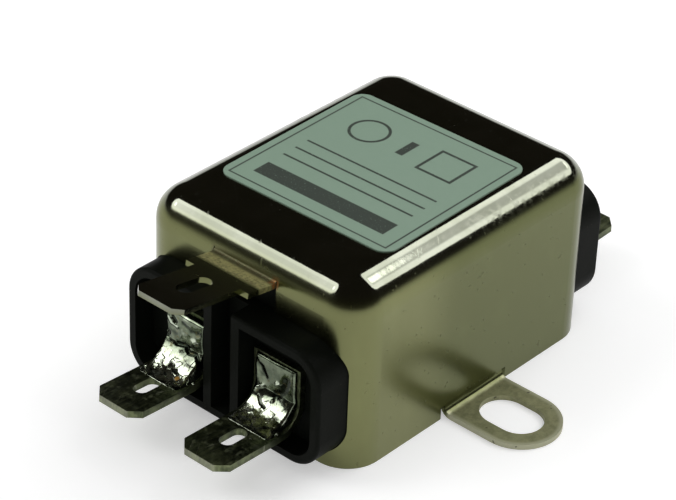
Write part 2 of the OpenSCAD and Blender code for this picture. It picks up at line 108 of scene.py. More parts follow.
class Shader:
    """The node tree of one material or of the world."""

    def __init__(self, tree):
        self.tree = tree

    def node(self, kind, settings, inputs, output=0):
        """Adds a node: its settings first, then values or links for its sockets."""
        node = self.tree.nodes.new(kind)
        for name, value in settings.items():
            setattr(node, name, value)
        for name, value in inputs.items():
            fill(node.inputs[name], value)
        return Socket(self.tree, node.outputs[output])

    def mix(self, factor, low, high):
        """the colour low where factor is 0 and high where it is 1"""
        return self.node("ShaderNodeMix", {"data_type": "RGBA"},
                         {0: factor, 6: low, 7: high}, output=2)

    def place(self):
        """the point's place in metres, in the frame of the part"""
        return self.node("ShaderNodeTexCoord", {}, {}, output=3)

    def parts(self, vector):
        """the three numbers of a vector"""
        split = self.node("ShaderNodeSeparateXYZ", {}, {"Vector": vector})
        return [Socket(self.tree, o) for o in split.socket.node.outputs]

    def stretched(self, scale, turn=(0, 0, 0)):
        """the point's place, turned and then drawn out or squeezed along each axis"""
        turned = self.node("ShaderNodeMapping", {}, {"Vector": self.place(), "Rotation": turn})
        return self.node("ShaderNodeMapping", {}, {"Vector": turned, "Scale": scale})

    def noise(self, scale, detail=2.0, vector=None, roughness=0.5):
        """soft random patches, about 1 / scale metres across, from 0 to 1"""
        return self.node("ShaderNodeTexNoise", {},
                         {"Vector": vector or self.place(), "Scale": scale,
                          "Detail": detail, "Roughness": roughness})

    def bump(self, height, distance):
        """the normal of a face raised by the height, where a height of 1 is the distance"""
        return self.node("ShaderNodeBump", {}, {"Height": height, "Distance": distance})

    def mirrored(self):
        """1 for what the camera sees straight, in a polished face or through glass"""
        return sum(self.node("ShaderNodeLightPath", {}, {}, output=ray)
                   for ray in ("Is Camera Ray", "Is Glossy Ray", "Is Transmission Ray"))


def new_material(name):
    """A material with only a Principled shader; returns it, its shader and its tree."""
    material = bpy.data.materials.new(name)
    material.use_nodes = True
    principled = material.node_tree.nodes["Principled BSDF"]
    return material, principled, Shader(material.node_tree)


def feed(principled, **inputs):
    """Sets or links sockets of a Principled shader; a name's _ stands for a space."""
    for name, value in inputs.items():
        fill(principled.inputs[name.replace("_", " ")], value)


def dress(material, *node_names):
    """Puts a material on the slots of CAD nodes."""
    for name in node_names:
        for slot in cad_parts[name].material_slots:
            slot.material = material


def make_mesh(name, points, *face_groups):
    """A smooth mesh object from an array of points and arrays of faces."""
    faces = [face for group in face_groups for face in group.tolist()]
    mesh = bpy.data.meshes.new(name)
    mesh.from_pydata(points.tolist(), [], faces)
    mesh.polygons.foreach_set("use_smooth", [True] * len(mesh.polygons))
    mesh.update()
    piece = bpy.data.objects.new(name, mesh)
    scene.collection.objects.link(piece)
    return piece


TABLE_HALF = 3.0
BOARD_WHITE, BOARD_GLOW = (0.8, 0.8, 0.8), (0.42, 0.42, 0.42)
BLACK, WHITE = (0, 0, 0), (1, 1, 1)
table_corners = np.array([(-1, -1, 0), (1, -1, 0), (1, 1, 0), (-1, 1, 0)]) * TABLE_HALF
ONE_FACE = np.array([[0, 1, 2, 3]])
table = make_mesh("table", table_corners, ONE_FACE)
board, board_shader, board_tree = new_material("table_board")
feed(board_shader, Base_Color=BOARD_WHITE, Roughness=0.9, Specular_IOR_Level=0.1,
     Emission_Color=board_tree.mix(board_tree.mirrored(), BLACK, BOARD_GLOW),
     Emission_Strength=1.0)
table.data.materials.append(board)

# ---- room and lamps ------------------------------------------------------
# Two soft boxes stand over the table, one at the back left and one at the right, in an even
# haze of light. Seen in the polished can, the room is pale near the table and dark above.
LOW_BAND = 0.06, 0.17
HAZE, ROOM_DARK = (0.5, 0.5, 0.5), (0.022, 0.019, 0.014)

room = bpy.data.worlds.new("room")
scene.world = room
room.use_nodes = True
room_tree = Shader(room.node_tree)
height = room_tree.parts(room_tree.node("ShaderNodeTexCoord", {}, {}, output=0))[2]
dark_room = room_tree.mix(height.smooth(*LOW_BAND), WHITE, ROOM_DARK)
room_light = room_tree.mix(room_tree.mirrored(), HAZE, dark_room)
straight = room_tree.node("ShaderNodeLightPath", {}, {}, output="Is Camera Ray")
fill(room.node_tree.nodes["Background"].inputs["Color"],
     room_tree.mix(straight, room_light, WHITE))


def direction(azimuth, elevation):
    """the unit vector at an azimuth from +X towards +Y and an elevation, in degrees"""
    a, e = math.radians(azimuth), math.radians(elevation)
    return np.array((math.cos(e) * math.cos(a), math.cos(e) * math.sin(a), math.sin(e)))


def soft_box(name, start, end, reach, width, glow, middle, hot, straight):
    """A flat glowing card: its one side runs from the start to the end direction at the
    given reach, and the other lies across that and across the line of sight. Its glow ends
    in a half ellipse beyond both ends of the straight share of the second side. It falls
    to middle along its centre line, and has a hot spot in the half ellipses."""
    a, b = direction(*start) * reach, direction(*end) * reach
    centre, along = (a + b) / 2, (b - a) / 2
    across = np.cross(along, -centre)
    across *= width / 2 / np.linalg.norm(across)
    corners = np.array([centre - along - across, centre + along - across,
                        centre + along + across, centre - along + across])
    card = make_mesh(name, corners, ONE_FACE)
    card.data.uv_layers.new(name="UVMap")
    card.data.uv_layers[0].data.foreach_set("uv", [0, 0, 1, 0, 1, 1, 0, 1])
    material, principled, tree = new_material(name + "_glow")
    u, v, _ = tree.parts(tree.node("ShaderNodeTexCoord", {}, {}, output=2))
    low, high = straight
    past_end = (((v - high) * (1 / (1 - high))).math("MAXIMUM", 0.0)
                + ((low - v) * (1 / low)).math("MAXIMUM", 0.0))
    outward = ((u * 2 - 1) ** 2 + past_end ** 2) ** 0.5
    colour = tree.mix(outward.smooth(0.30, 0.55), (middle / glow,) * 3, WHITE)
    colour = tree.mix(past_end.smooth(0.0, 0.15) * (1 - outward.smooth(0.25, 0.42)), colour,
                      (hot / glow,) * 3)
    feed(principled, Base_Color=BLACK, Roughness=1.0, Emission_Strength=glow,
         Emission_Color=tree.mix(outward.smooth(0.94, 1.0), colour, BLACK))
    card.data.materials.append(material)


soft_box("soft_box_right", (22, 47), (-42, 32), 0.9, 0.5, glow=3.5, middle=1.7, hot=7.5,
         straight=(0.36, 0.62))
soft_box("soft_box_left", (114, 53), (141, 29), 0.9, 0.5, glow=3.5, middle=2.9, hot=7.5,
         straight=(0.40, 0.64))

# ---- can -----------------------------------------------------------------
# The can is drawn from thin steel and plated bright. Its ears and its earth tab are bent from
# the same sheet. The ears are dull and stained. The tab's crease has begun to rust, and is also
# painted darker, as shade in the hollow of the bend.
# The side wall is painted lighter near the near corner and darker towards the far end: painted
# reflection and painted shade, laid into the plated colour.
END_WALL, NEAR_WALL_PAINTED_LIGHT = (0.155, 0.164, 0.074), (0.205, 0.215, 0.100)
FAR_WALL_PAINTED_SHADE = (0.132, 0.144, 0.062)
TOP_COLOURS = (0.185, 0.195, 0.150), (0.225, 0.235, 0.190)
EAR_COLOURS = (0.225, 0.228, 0.120), (0.320, 0.322, 0.180)
# The ears' outer rims are painted lighter: a painted highlight along their rounded edge.
EAR_RIM_PAINTED_HIGHLIGHT = (0.46, 0.46, 0.32)
# The band on the earth tab next to the wall is partly wear and partly a painted reflection of
# the bend, fading to painted shade further out.
BEND_SHEEN_COLOURS = (0.120, 0.112, 0.040), (0.330, 0.310, 0.120)
# The crease's dark colour is partly rust and partly painted shade in the hollow of the bend.
CREASE_SHADE_AND_RUST = (0.085, 0.060, 0.022)
RUST = (0.32, 0.13, 0.03)
GRIME = (0.035, 0.030, 0.014)

# Each pair says where a mask starts and where it is full, and each three where a strip
# starts and ends and how soft its edges are.
END_FACE, EAR_TIP_CENTRE = 19.4 * MM, 21.15 * MM
EAR_ROOT, EAR_TOP = (15.1 * MM, 15.8 * MM), (4.0 * MM, 6.0 * MM)
EAR_HIGHLIGHT_WAY = 4.0 * MM, 4.5 * MM
TAB_OUT, TAB_UP = (0.1 * MM, 0.3 * MM), (16.5 * MM, 17.5 * MM)
BEND_SHEEN_OUT = 0.6 * MM, 2.4 * MM, 0.3 * MM
CREASE_OUT, CREASE_UP = (-0.1 * MM, 0.6 * MM, 0.2 * MM), (17.8 * MM, 18.6 * MM)
CREASE_ACROSS, RUST_ACROSS = (0, 4.6 * MM, 0.2 * MM), (3.4 * MM, 4.2 * MM)
TOP_UP = 19.6 * MM, 20.8 * MM
PAINTED_LIGHT_ALONG, PAINTED_SHADE_ALONG = (-17.5 * MM, -7.0 * MM, 4.0 * MM), (-18 * MM, 0.0)
LOAD_HALF, TOP_RIM = (-4 * MM, 4 * MM), (12.5 * MM, 13.5 * MM)

plated, plated_shader, plated_tree = new_material("can_steel")
x, y, z = plated_tree.parts(plated_tree.place())
on_ear = abs(y).smooth(*EAR_ROOT) * (1 - z.smooth(*EAR_TOP))
out_of_wall = x * -1 - END_FACE
on_tab = out_of_wall.smooth(*TAB_OUT) * z.smooth(*TAB_UP)
on_bend_sheen = out_of_wall.within(*BEND_SHEEN_OUT) * on_tab
on_crease = (out_of_wall.within(*CREASE_OUT) * z.smooth(*CREASE_UP)
             * abs(y).within(*CREASE_ACROSS))
on_top = z.smooth(*TOP_UP)

mottle = plated_tree.noise(260, detail=4)
streaks = plated_tree.noise(1, detail=3, vector=plated_tree.stretched((700, 700, 90)))
grain = plated_tree.noise(3600, detail=3)
edge_mottle = (plated_tree.noise(1500, detail=3).smooth(0.45, 0.6) * x.smooth(*LOAD_HALF)
               * abs(y).smooth(*TOP_RIM))
specks = plated_tree.noise(1500, detail=1).smooth(0.72, 0.77)
rim_way = ((abs(y) - EAR_TIP_CENTRE).math("MAXIMUM", 0.0) ** 2 + x ** 2) ** 0.5
# A painted highlight: a lighter band along the outer edge of each ear.
on_painted_ear_highlight = on_ear * rim_way.smooth(*EAR_HIGHLIGHT_WAY)
ear_marks = plated_tree.noise(900, detail=5, roughness=0.7)
scratches = sum(plated_tree.noise(1, detail=1, vector=plated_tree.stretched(
    (60, 5200, 300), turn=(0, 0, turn))).smooth(0.70, 0.78) for turn in (0.4, 1.3, 2.3))

# Painted shade darkens the wall towards the far end, and painted light brightens it near the
# near corner.
wall_colour_and_painted_light = plated_tree.mix(x.smooth(*PAINTED_SHADE_ALONG), END_WALL, FAR_WALL_PAINTED_SHADE)
wall_colour_and_painted_light = plated_tree.mix(x.within(*PAINTED_LIGHT_ALONG), wall_colour_and_painted_light, NEAR_WALL_PAINTED_LIGHT)
wall_colour_and_painted_light = plated_tree.mix((mottle * 0.6 + streaks * 0.4).smooth(0.25, 0.5) * 0.10,
                              wall_colour_and_painted_light, GRIME)
top_colour = plated_tree.mix(mottle.smooth(0.35, 0.65), *TOP_COLOURS)
ear_colour = plated_tree.mix(ear_marks.smooth(0.35, 0.62), *EAR_COLOURS)
# Lighter close to the wall and darker further out: a painted reflection of the bend, broken up
# by grain and marks as wear.
wear_and_painted_sheen = grain * 0.5 + ear_marks * 0.5 - (out_of_wall - 0.8 * MM) * 120
bend_sheen_colour = plated_tree.mix(wear_and_painted_sheen.smooth(0.20, 0.56), *BEND_SHEEN_COLOURS)
colour = plated_tree.mix(on_top, wall_colour_and_painted_light, top_colour)
colour = plated_tree.mix(on_ear, colour, ear_colour)
colour = plated_tree.mix(on_painted_ear_highlight, colour, EAR_RIM_PAINTED_HIGHLIGHT)
colour = plated_tree.mix(on_bend_sheen, colour, bend_sheen_colour)
rusty = on_crease * (y * -1).smooth(*RUST_ACROSS)
# The crease is painted darker in patches: painted shade in the hollow of the bend, and rust.
colour = plated_tree.mix(on_crease * grain.smooth(0.30, 0.55) * 0.6, colour, CREASE_SHADE_AND_RUST)
colour = plated_tree.mix(rusty * grain.smooth(0.4, 0.5), colour, RUST)
colour = plated_tree.mix(specks * (0.12 + on_ear * 0.6), colour, GRIME)
dullness = on_ear * 0.40 + on_bend_sheen * 0.6 + on_crease * 0.5
roughness = (0.24 - on_top * (0.17 - edge_mottle * 0.16) + on_ear * 0.28 + on_bend_sheen * 0.35
             + on_crease * 0.3 + scratches * on_top * 0.10 + specks * 0.15)
relief = (mottle * 0.6 + streaks * 0.3 + grain * (on_ear + on_bend_sheen) * 0.25
          - scratches * on_top * 0.03)
feed(plated_shader, Base_Color=colour, Metallic=1 - dullness - specks * on_ear * 0.3,
     Roughness=roughness, Normal=plated_tree.bump(relief, 0.02 * MM))
dress(plated, "can")

# ---- label ---------------------------------------------------------------
# A square of thin printed film, stuck on a little askew. Its print is a plain frame, a dark
# band and a few simple shapes.
FILM_COLOURS = (0.226, 0.330, 0.246), (0.242, 0.346, 0.262)
INK = (0.030, 0.036, 0.030)
LABEL_TURN = math.radians(1.1)
LABEL_SHIFT = -0.15 * MM
LINE_EDGE = 0.06 * MM

film, film_shader, film_tree = new_material("label_paper")
askew = film_tree.node("ShaderNodeMapping", {"vector_type": "TEXTURE"},
                       {"Vector": film_tree.place(), "Location": (LABEL_SHIFT, 0, 0),
                        "Rotation": (0, 0, LABEL_TURN)})
u, v, _ = film_tree.parts(askew)


def printed_box(centre, half):
    """1 inside a box given by its middle and its half sides, in mm"""
    inside = [abs(part - middle * MM).smooth(side * MM + LINE_EDGE, side * MM - LINE_EDGE)
              for part, middle, side in zip((u, v), centre, half)]
    return inside[0] * inside[1]


def printed_ring(centre, radius, width):
    """1 on a ring line, in mm"""
    away = ((u - centre[0] * MM) ** 2 + (v - centre[1] * MM) ** 2) ** 0.5
    return abs(away - radius * MM).smooth(width / 2 * MM + LINE_EDGE,
                                          width / 2 * MM - LINE_EDGE)


border = printed_box((0, 0), (10.7, 10.7)) - printed_box((0, 0), (10.5, 10.5))
outline = printed_box((5.6, -5.2), (2.4, 2.4)) - printed_box((5.6, -5.2), (2.05, 2.05))
rules = sum(printed_box((at, 0), (0.14, 8.8)) for at in (-4.2, -2.3, -0.4))
print_mask = (border + outline + rules + printed_box((-7.7, 0), (1.2, 8.8))
              + printed_box((5.6, 0.1), (1.5, 0.5)) + printed_ring((5.6, 5.3), 2.2, 0.35))
fibre = film_tree.noise(1400, detail=4)
worn_ink = print_mask * (0.92 - film_tree.noise(5000, detail=2).smooth(0.62, 0.72) * 0.5)
feed(film_shader,
     Base_Color=film_tree.mix(worn_ink, film_tree.mix(fibre, *FILM_COLOURS), INK),
     Roughness=0.42 + fibre * 0.12 - worn_ink * 0.05,
     Normal=film_tree.bump(fibre, 0.006 * MM))
dress(film, "label")

# ---- terminal blocks -----------------------------------------------------
# Satin black mouldings that snap into the ends of the can. Each has a deep pocket around each
# terminal, and the moulding's skin is slightly uneven.
BLOCK_COLOURS = (0.0044, 0.0052, 0.0038), (0.0066, 0.0078, 0.0056)
DUST = (0.06, 0.06, 0.045)

moulded, moulded_shader, moulded_tree = new_material("block_plastic")
skin = moulded_tree.noise(2600, detail=4)
flow = moulded_tree.noise(1, detail=2, vector=moulded_tree.stretched((500, 160, 160)))
dust = moulded_tree.noise(4200, detail=1).smooth(0.76, 0.80)
feed(moulded_shader,
     Base_Color=moulded_tree.mix(dust * 0.5, moulded_tree.mix(flow, *BLOCK_COLOURS), DUST),
     Roughness=0.42 + flow * 0.12 + dust * 0.2, Specular_IOR_Level=0.04,
     Normal=moulded_tree.bump(skin, 0.012 * MM))
dress(moulded, "line_block", "load_block")

# ---- terminals -----------------------------------------------------------
# Each terminal is an L of tinned strip: one leg in the block and a chamfered, slotted blade.
# Handling and soldering have left the strip dull, with flux stains and bright scratches.
STRIP_COLOURS = (0.052, 0.064, 0.034), (0.165, 0.190, 0.100)
STAIN = (0.020, 0.018, 0.010)
SCRATCH = (0.42, 0.42, 0.33)
PAST_BEND, TIP_RIM = (24.0 * MM, 26.2 * MM), (31.85 * MM, 32.05 * MM)

strip, strip_shader, strip_tree = new_material("blade_metal")
x = strip_tree.parts(strip_tree.place())[0]
past_bend = abs(x).smooth(*PAST_BEND)
patches = strip_tree.noise(700, detail=5, roughness=0.65)
drawn_lines = strip_tree.noise(1, detail=2, vector=strip_tree.stretched((120, 3800, 900)))
stains = strip_tree.noise(1300, detail=4, roughness=0.7).smooth(0.52, 0.66)
marks = sum(strip_tree.noise(1, detail=1, vector=strip_tree.stretched(
    (160, 5200, 700), turn=(0, 0, turn))).smooth(0.70, 0.76) for turn in (0.25, 2.6))
worn_rim = abs(x).smooth(*TIP_RIM)
colour = strip_tree.mix((patches * 0.6 + drawn_lines * 0.4).smooth(0.38, 0.62), *STRIP_COLOURS)
colour = strip_tree.mix(stains * (1 - past_bend * 0.7), colour, STAIN)
colour = strip_tree.mix(marks * 0.35 + worn_rim * 0.3, colour, SCRATCH)
feed(strip_shader, Base_Color=colour,
     Metallic=1 - stains * 0.5,
     Roughness=0.30 + patches * 0.18 + stains * 0.15 - marks * 0.08,
     Normal=strip_tree.bump(drawn_lines * 0.5 + patches * 0.6 - marks * 0.2, 0.02 * MM))
dress(strip, "line_terminal_1", "line_terminal_2", "load_terminal_1", "load_terminal_2")

# ---- solder --------------------------------------------------------------
# Hand-soldered joints: a lump of tin lies on each leg and runs down its bend to a thin toe on
# the blade. It has set with pits, ripples and crumpled facets.
BEND_X, BEND_Z, BEND = 23.5 * MM, 7.25 * MM, 2.6 * MM
COAT_TOP, JOINT_WIDTH, TOE = 3.65 * MM, 5.95 * MM, 1.2 * MM
BLADE_PITCH = 12.2 * MM
TOE_ANGLE = math.radians(10)
SUNK, ROUNDED_EDGE, THIN = 0.03 * MM, 0.45 * MM, 0.3 * MM
DEEPEST_SHARE, HIGHEST = 0.7, 0.28 * MM
SIDE_WAVE, SIDE_CELL, SIDES_APART = 0.16 * MM, 1.3 * MM, 9 * MM
RIPPLES = (0.100, 1.9), (0.026, 0.7), (0.004, 0.25)
FACET, FACETED_LENGTH = 0.7 * MM, 9 * MM
FACETS_START, FACETS_FADE = 4.2 * MM, 1.5 * MM
STEPS_ACROSS, STEPS_DOWN, LATTICE = 110, 170, 80
TIN_COLOURS = (0.110, 0.135, 0.092), (0.190, 0.222, 0.155)
# The tin below the bend is painted lighter than above it: painted light on the lower part of
# each joint.
LOWER_TIN_PAINTED_LIGHT_COLOURS = (0.28, 0.31, 0.23), (0.62, 0.67, 0.54)
# The swirl colours are partly a random tone of the tin, and partly a painted highlight on raised
# features and painted shade in pits and crescents.
SWIRL_AND_PAINTED_HIGHLIGHT, SWIRL_AND_PAINTED_SHADE = (0.50, 0.56, 0.44), (0.030, 0.038, 0.026)
FLUX_STAIN = (0.16, 0.14, 0.06)
ABOVE_BEND = 5.8 * MM, 7.0 * MM


def coat_section(coat, lean, steps):
    """The free line and the metal line of a coat's section: points p towards the can and q
    up from the bend's centre. The free line runs straight down a coat's thickness from the
    leg, then along the hollow arc that meets the blade at ten degrees. Each metal point is
    the free point's foot on the leg, the bend or the blade. Also gives the free line's
    outward normals and its length so far."""
    toe = coat + TOE
    blade_way = np.array((-math.cos(lean), math.sin(lean)))
    bend_end = -BEND * np.array((math.sin(lean), math.cos(lean)))
    toe_point, leg_point = bend_end + toe * blade_way, np.array((BEND - coat, 0))
    tilt = TOE_ANGLE - lean
    to_centre = np.array((-math.sin(tilt), math.cos(tilt)))
    chord = leg_point - toe_point
    hollow = chord @ chord / (2 * chord @ to_centre)
    centre = toe_point + hollow * to_centre
    start, end = (math.atan2(*(point - centre)[::-1]) for point in (leg_point, toe_point))
    end = end if end < start else end - 2 * math.pi
    arc_length = hollow * (start - end)
    length = np.linspace(0, COAT_TOP + arc_length, steps)
    angle = start - np.clip(length - COAT_TOP, 0, None) / hollow
    on_leg = length < COAT_TOP
    free = np.where(on_leg[:, None],
                    np.stack([np.full(steps, BEND - coat), COAT_TOP - length], 1),
                    centre + hollow * np.stack([np.cos(angle), np.sin(angle)], 1))
    normal = np.where(on_leg[:, None], (-1.0, 0.0), -np.stack([np.cos(angle), np.sin(angle)], 1))
    foot_angle = np.arctan2(free[:, 1], free[:, 0])
    round_foot = (BEND + SUNK) * np.stack([np.cos(foot_angle), np.sin(foot_angle)], 1)
    along = (free - bend_end) @ blade_way
    flat_foot = bend_end * (1 + SUNK / BEND) + np.clip(along, 0, None)[:, None] * blade_way
    leg_foot = np.stack([np.full(steps, BEND + SUNK), free[:, 1]], 1)
    bent_foot = np.where(along[:, None] > 0, flat_foot, round_foot)
    return free, np.where(on_leg[:, None], leg_foot, bent_foot), normal, length


def rippled(across, down, cell, seed):
    """Smooth random heights from -1 to 1: random values on a square lattice of the given
    cell, blended by smooth steps between its four corners."""
    lattice = np.random.default_rng(seed).uniform(-1, 1, (LATTICE, LATTICE))
    a, d = across / cell + LATTICE / 2, down / cell + LATTICE / 4
    i, j = (np.floor(part).astype(int) % (LATTICE - 1) for part in (a, d))
    fa, fd = a - np.floor(a), d - np.floor(d)
    fa, fd = fa * fa * (3 - 2 * fa), fd * fd * (3 - 2 * fd)
    near = lattice[i, j] * (1 - fa) + lattice[i + 1, j] * fa
    far = lattice[i, j + 1] * (1 - fa) + lattice[i + 1, j + 1] * fa
    return near * (1 - fd) + far * fd


def crumpled(across, down, cell, seed):
    """Flat tilted facets: each point takes the height of the plane of its nearest random
    centre, which has its own slope and its own height."""
    numbers = np.random.default_rng(seed)
    centres = numbers.uniform(0, 1, (int(JOINT_WIDTH * FACETED_LENGTH / cell ** 2) + 4, 2))
    centres = centres * (JOINT_WIDTH, FACETED_LENGTH) - (JOINT_WIDTH / 2, 0)
    slopes = numbers.normal(0, 0.35, centres.shape)
    heights = numbers.normal(0, 0.15, len(centres))
    from_centre = np.stack([across, down], -1)[..., None, :] - centres
    nearest = (from_centre ** 2).sum(-1).argmin(-1)
    chosen = np.take_along_axis(from_centre, nearest[..., None, None], 2)[..., 0, :]
    return (chosen * slopes[nearest]).sum(-1) / cell + heights[nearest]


def from_line(across, down, line):
    """the distance from each point to a bent line of points, all in metres"""
    here, line = np.stack([across, down], -1), np.array(line)
    if len(line) == 1:
        line = np.repeat(line, 2, 0)
    best = np.full(across.shape, np.inf)
    for a, b in zip(line[:-1], line[1:]):
        way = b - a
        share = np.clip(((here - a) @ way) / max(way @ way, 1e-18), 0, 1)
        best = np.minimum(best, np.linalg.norm(here - a - share[..., None] * way, axis=-1))
    return best


def solder_joint(name, node, end, side, coat, lean, seed, rough, features):
    """A closed shell: the coat's free surface over across and down, raised along its normal
    by ripples, facets and features, with its thickness rounded off to nothing at the sides
    and the top, and closed by a back on the metal. A feature is a height, a width and a
    line of places, each across from the joint's middle and up from the base, in mm. The
    swirls that tone the tin are ripples, some of them at places shifted by ripples. The
    features add to them too: a painted highlight on a raised feature and painted shade in
    a sunk one."""
    free, metal, normal, length = coat_section(coat, math.radians(lean), STEPS_DOWN)
    share = np.linspace(-1, 1, STEPS_ACROSS)
    half = JOINT_WIDTH / 2 - SIDE_WAVE * (1 + rippled(
        np.sign(share)[:, None] * SIDES_APART, length[None, :], SIDE_CELL, seed + 5))
    across, down = share[:, None] * half, length[None, :] + 0 * share[:, None]
    below = (down - FACETS_START).clip(0, FACETS_FADE) / FACETS_FADE
    shift = 0.5 * MM * rippled(across, down, 0.8 * MM, seed + 8)
    swirl_tone_and_painted_light = (0.55 * rippled(across, down, 1.3 * MM, seed + 7)
              + 0.35 * rippled(across + shift, down, 0.45 * MM, seed + 9))
    relief = sum(height * rippled(across, down, cell * MM, seed + count)
                 for count, (height, cell) in enumerate(RIPPLES))
    relief = relief + rough * below * crumpled(across, down, FACET, seed + 3)
    for raised, width, line in features:
        places = [(a * MM, (BEND_Z + COAT_TOP) - z * MM) for a, z in line]
        ridge = np.exp(-(from_line(across, down, places) / (width * MM)) ** 2)
        # A raised feature is painted lighter and a sunk one darker: painted highlight and
        # painted shade.
        relief, swirl_tone_and_painted_light = relief + raised * ridge, swirl_tone_and_painted_light + 9 * raised * ridge
    edge = np.clip(np.minimum(half - abs(across), down) / ROUNDED_EDGE, 0, 1)
    edge = np.sqrt(1 - (1 - edge) ** 2)
    thick = np.linalg.norm(free - metal, axis=-1)[None, :]
    lift = np.clip(relief * MM, -DEEPEST_SHARE * thick, HIGHEST)
    lift = lift * edge * np.clip(thick / THIN, 0, 1)
    front = metal + (free - metal) * edge[..., None] + normal * lift[..., None]
    sections = np.stack([front, np.broadcast_to(metal, front.shape)])
    points = np.stack([end * (BEND_X - sections[..., 0]),
                       side * BLADE_PITCH / 2 + across + 0 * sections[..., 0],
                       BEND_Z + sections[..., 1]], -1)
    index = np.arange(STEPS_ACROSS * STEPS_DOWN).reshape(STEPS_ACROSS, STEPS_DOWN)
    corners = np.stack([index[:-1, :-1], index[1:, :-1], index[1:, 1:], index[:-1, 1:]], -1)
    corners = corners.reshape(-1, 4)
    loop = np.concatenate([index[:, 0], index[-1, 1:], index[-2::-1, -1], index[0, -2:0:-1]])
    following = np.roll(loop, -1)
    wall = np.stack([following, loop, loop + index.size, following + index.size], 1)
    faces = np.concatenate([corners, corners[:, ::-1] + index.size, wall])
    points = points.reshape(-1, 3)
    a, b, c, d = (points[faces[:, k]] for k in range(4))
    volume = (np.cross(b - a, c - a) * a).sum() + (np.cross(c - a, d - a) * a).sum()
    piece = make_mesh(name, points, faces if volume > 0 else faces[:, ::-1])
    marks = piece.data.attributes.new("swirl_tone_and_painted_light", "FLOAT", "POINT")
    marks.data.foreach_set("value", np.stack([swirl_tone_and_painted_light, swirl_tone_and_painted_light * 0]).ravel())
    piece.data.materials.append(tin)
    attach(piece, "root")
    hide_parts(node)


tin, tin_shader, tin_tree = new_material("tin_solder")
z = tin_tree.parts(tin_tree.place())[2]
cloud = tin_tree.noise(900, detail=4, roughness=0.6)
frost = tin_tree.noise(5200, detail=3)
flux = tin_tree.noise(1500, detail=3).smooth(0.60, 0.70)
swirl_tone_and_painted_light = tin_tree.node("ShaderNodeAttribute", {"attribute_name": "swirl_tone_and_painted_light"}, {}, output="Fac")
above_bend = (z + (cloud - 0.5) * (2 * MM)).smooth(*ABOVE_BEND)
colour = tin_tree.mix(cloud.smooth(0.35, 0.65), *TIN_COLOURS)
# Through the swirl marks, painted highlight and painted shade follow the features, besides the
# marks' random tone.
colour = tin_tree.mix(swirl_tone_and_painted_light.smooth(0.20, 0.90), colour, SWIRL_AND_PAINTED_HIGHLIGHT)
# Painted light: below the bend the tin takes these lighter colours.
lower_tin_painted_light = tin_tree.mix(cloud.smooth(0.40, 0.60), *LOWER_TIN_PAINTED_LIGHT_COLOURS)
colour = tin_tree.mix(above_bend, lower_tin_painted_light, colour)
colour = tin_tree.mix((swirl_tone_and_painted_light * -1).smooth(0.20, 0.85), colour, SWIRL_AND_PAINTED_SHADE)
feed(tin_shader, Base_Color=tin_tree.mix(flux * 0.5, colour, FLUX_STAIN), Metallic=1.0,
     Roughness=0.10 + cloud * 0.12 + flux * 0.15,
     Normal=tin_tree.bump(frost * 0.5 + cloud, 0.01 * MM))

solder_joint("tin_joint_line_1", "line_solder_1", end=-1, side=1, coat=0.9 * MM, lean=4,
             seed=11, rough=0.11, features=[
    (0.14, 0.26, [(2.25, 9.80), (1.84, 9.23), (0.96, 9.17)]),
    (-0.14, 0.24, [(1.70, 9.95), (1.20, 9.55)]),
    (-0.20, 0.34, [(2.45, 7.70)]), (0.20, 0.16, [(2.55, 7.80)]),
    (-0.18, 0.22, [(0.96, 7.01), (-0.18, 7.29), (-0.90, 6.81), (-1.78, 6.97), (-2.67, 6.30)]),
    (0.15, 0.45, [(-1.46, 8.21)]),
    (-0.12, 0.34, [(0.2, 9.9), (-0.9, 9.4), (-1.9, 9.6)])])
solder_joint("tin_joint_line_2", "line_solder_2", end=-1, side=-1, coat=0.4 * MM, lean=2.5,
             seed=23, rough=0.05, features=[
    (0.18, 0.32, [(-0.43, 8.46)]),
    (-0.15, 0.42, [(-1.70, 9.38), (-1.45, 8.5), (-1.10, 7.7), (-0.39, 7.05)]),
    (-0.10, 0.50, [(1.9, 9.3), (1.4, 8.6)]), (0.10, 0.30, [(1.5, 7.4), (2.2, 6.9)]),
    (0.12, 0.18, [(-0.25, 6.43)]),
    (-0.10, 0.12, [(1.6, 6.2), (0.9, 5.6), (0.2, 5.4)])])
solder_joint("tin_joint_load_1", "load_solder_1", end=1, side=1, coat=0.9 * MM, lean=4,
             seed=37, rough=0.09, features=[
    (0.14, 0.35, [(-0.8, 8.9), (0.3, 8.6)]), (-0.18, 0.22, [(1.9, 7.9)])])
solder_joint("tin_joint_load_2", "load_solder_2", end=1, side=-1, coat=0.4 * MM, lean=2.5,
             seed=41, rough=0.06, features=[
    (0.12, 0.40, [(0.7, 8.3)]), (-0.14, 0.18, [(-1.2, 7.6), (-0.4, 7.1)])])

# ---- splashes and flux ---------------------------------------------------
# Small lumps of tin that spat onto the blades while they were soldered, and a bead of amber
# flux that has set beside the first joint.
AROUND, UPWARDS = 24, 12
FLUX_COLOURS = (0.30, 0.13, 0.02), (0.62, 0.36, 0.07)


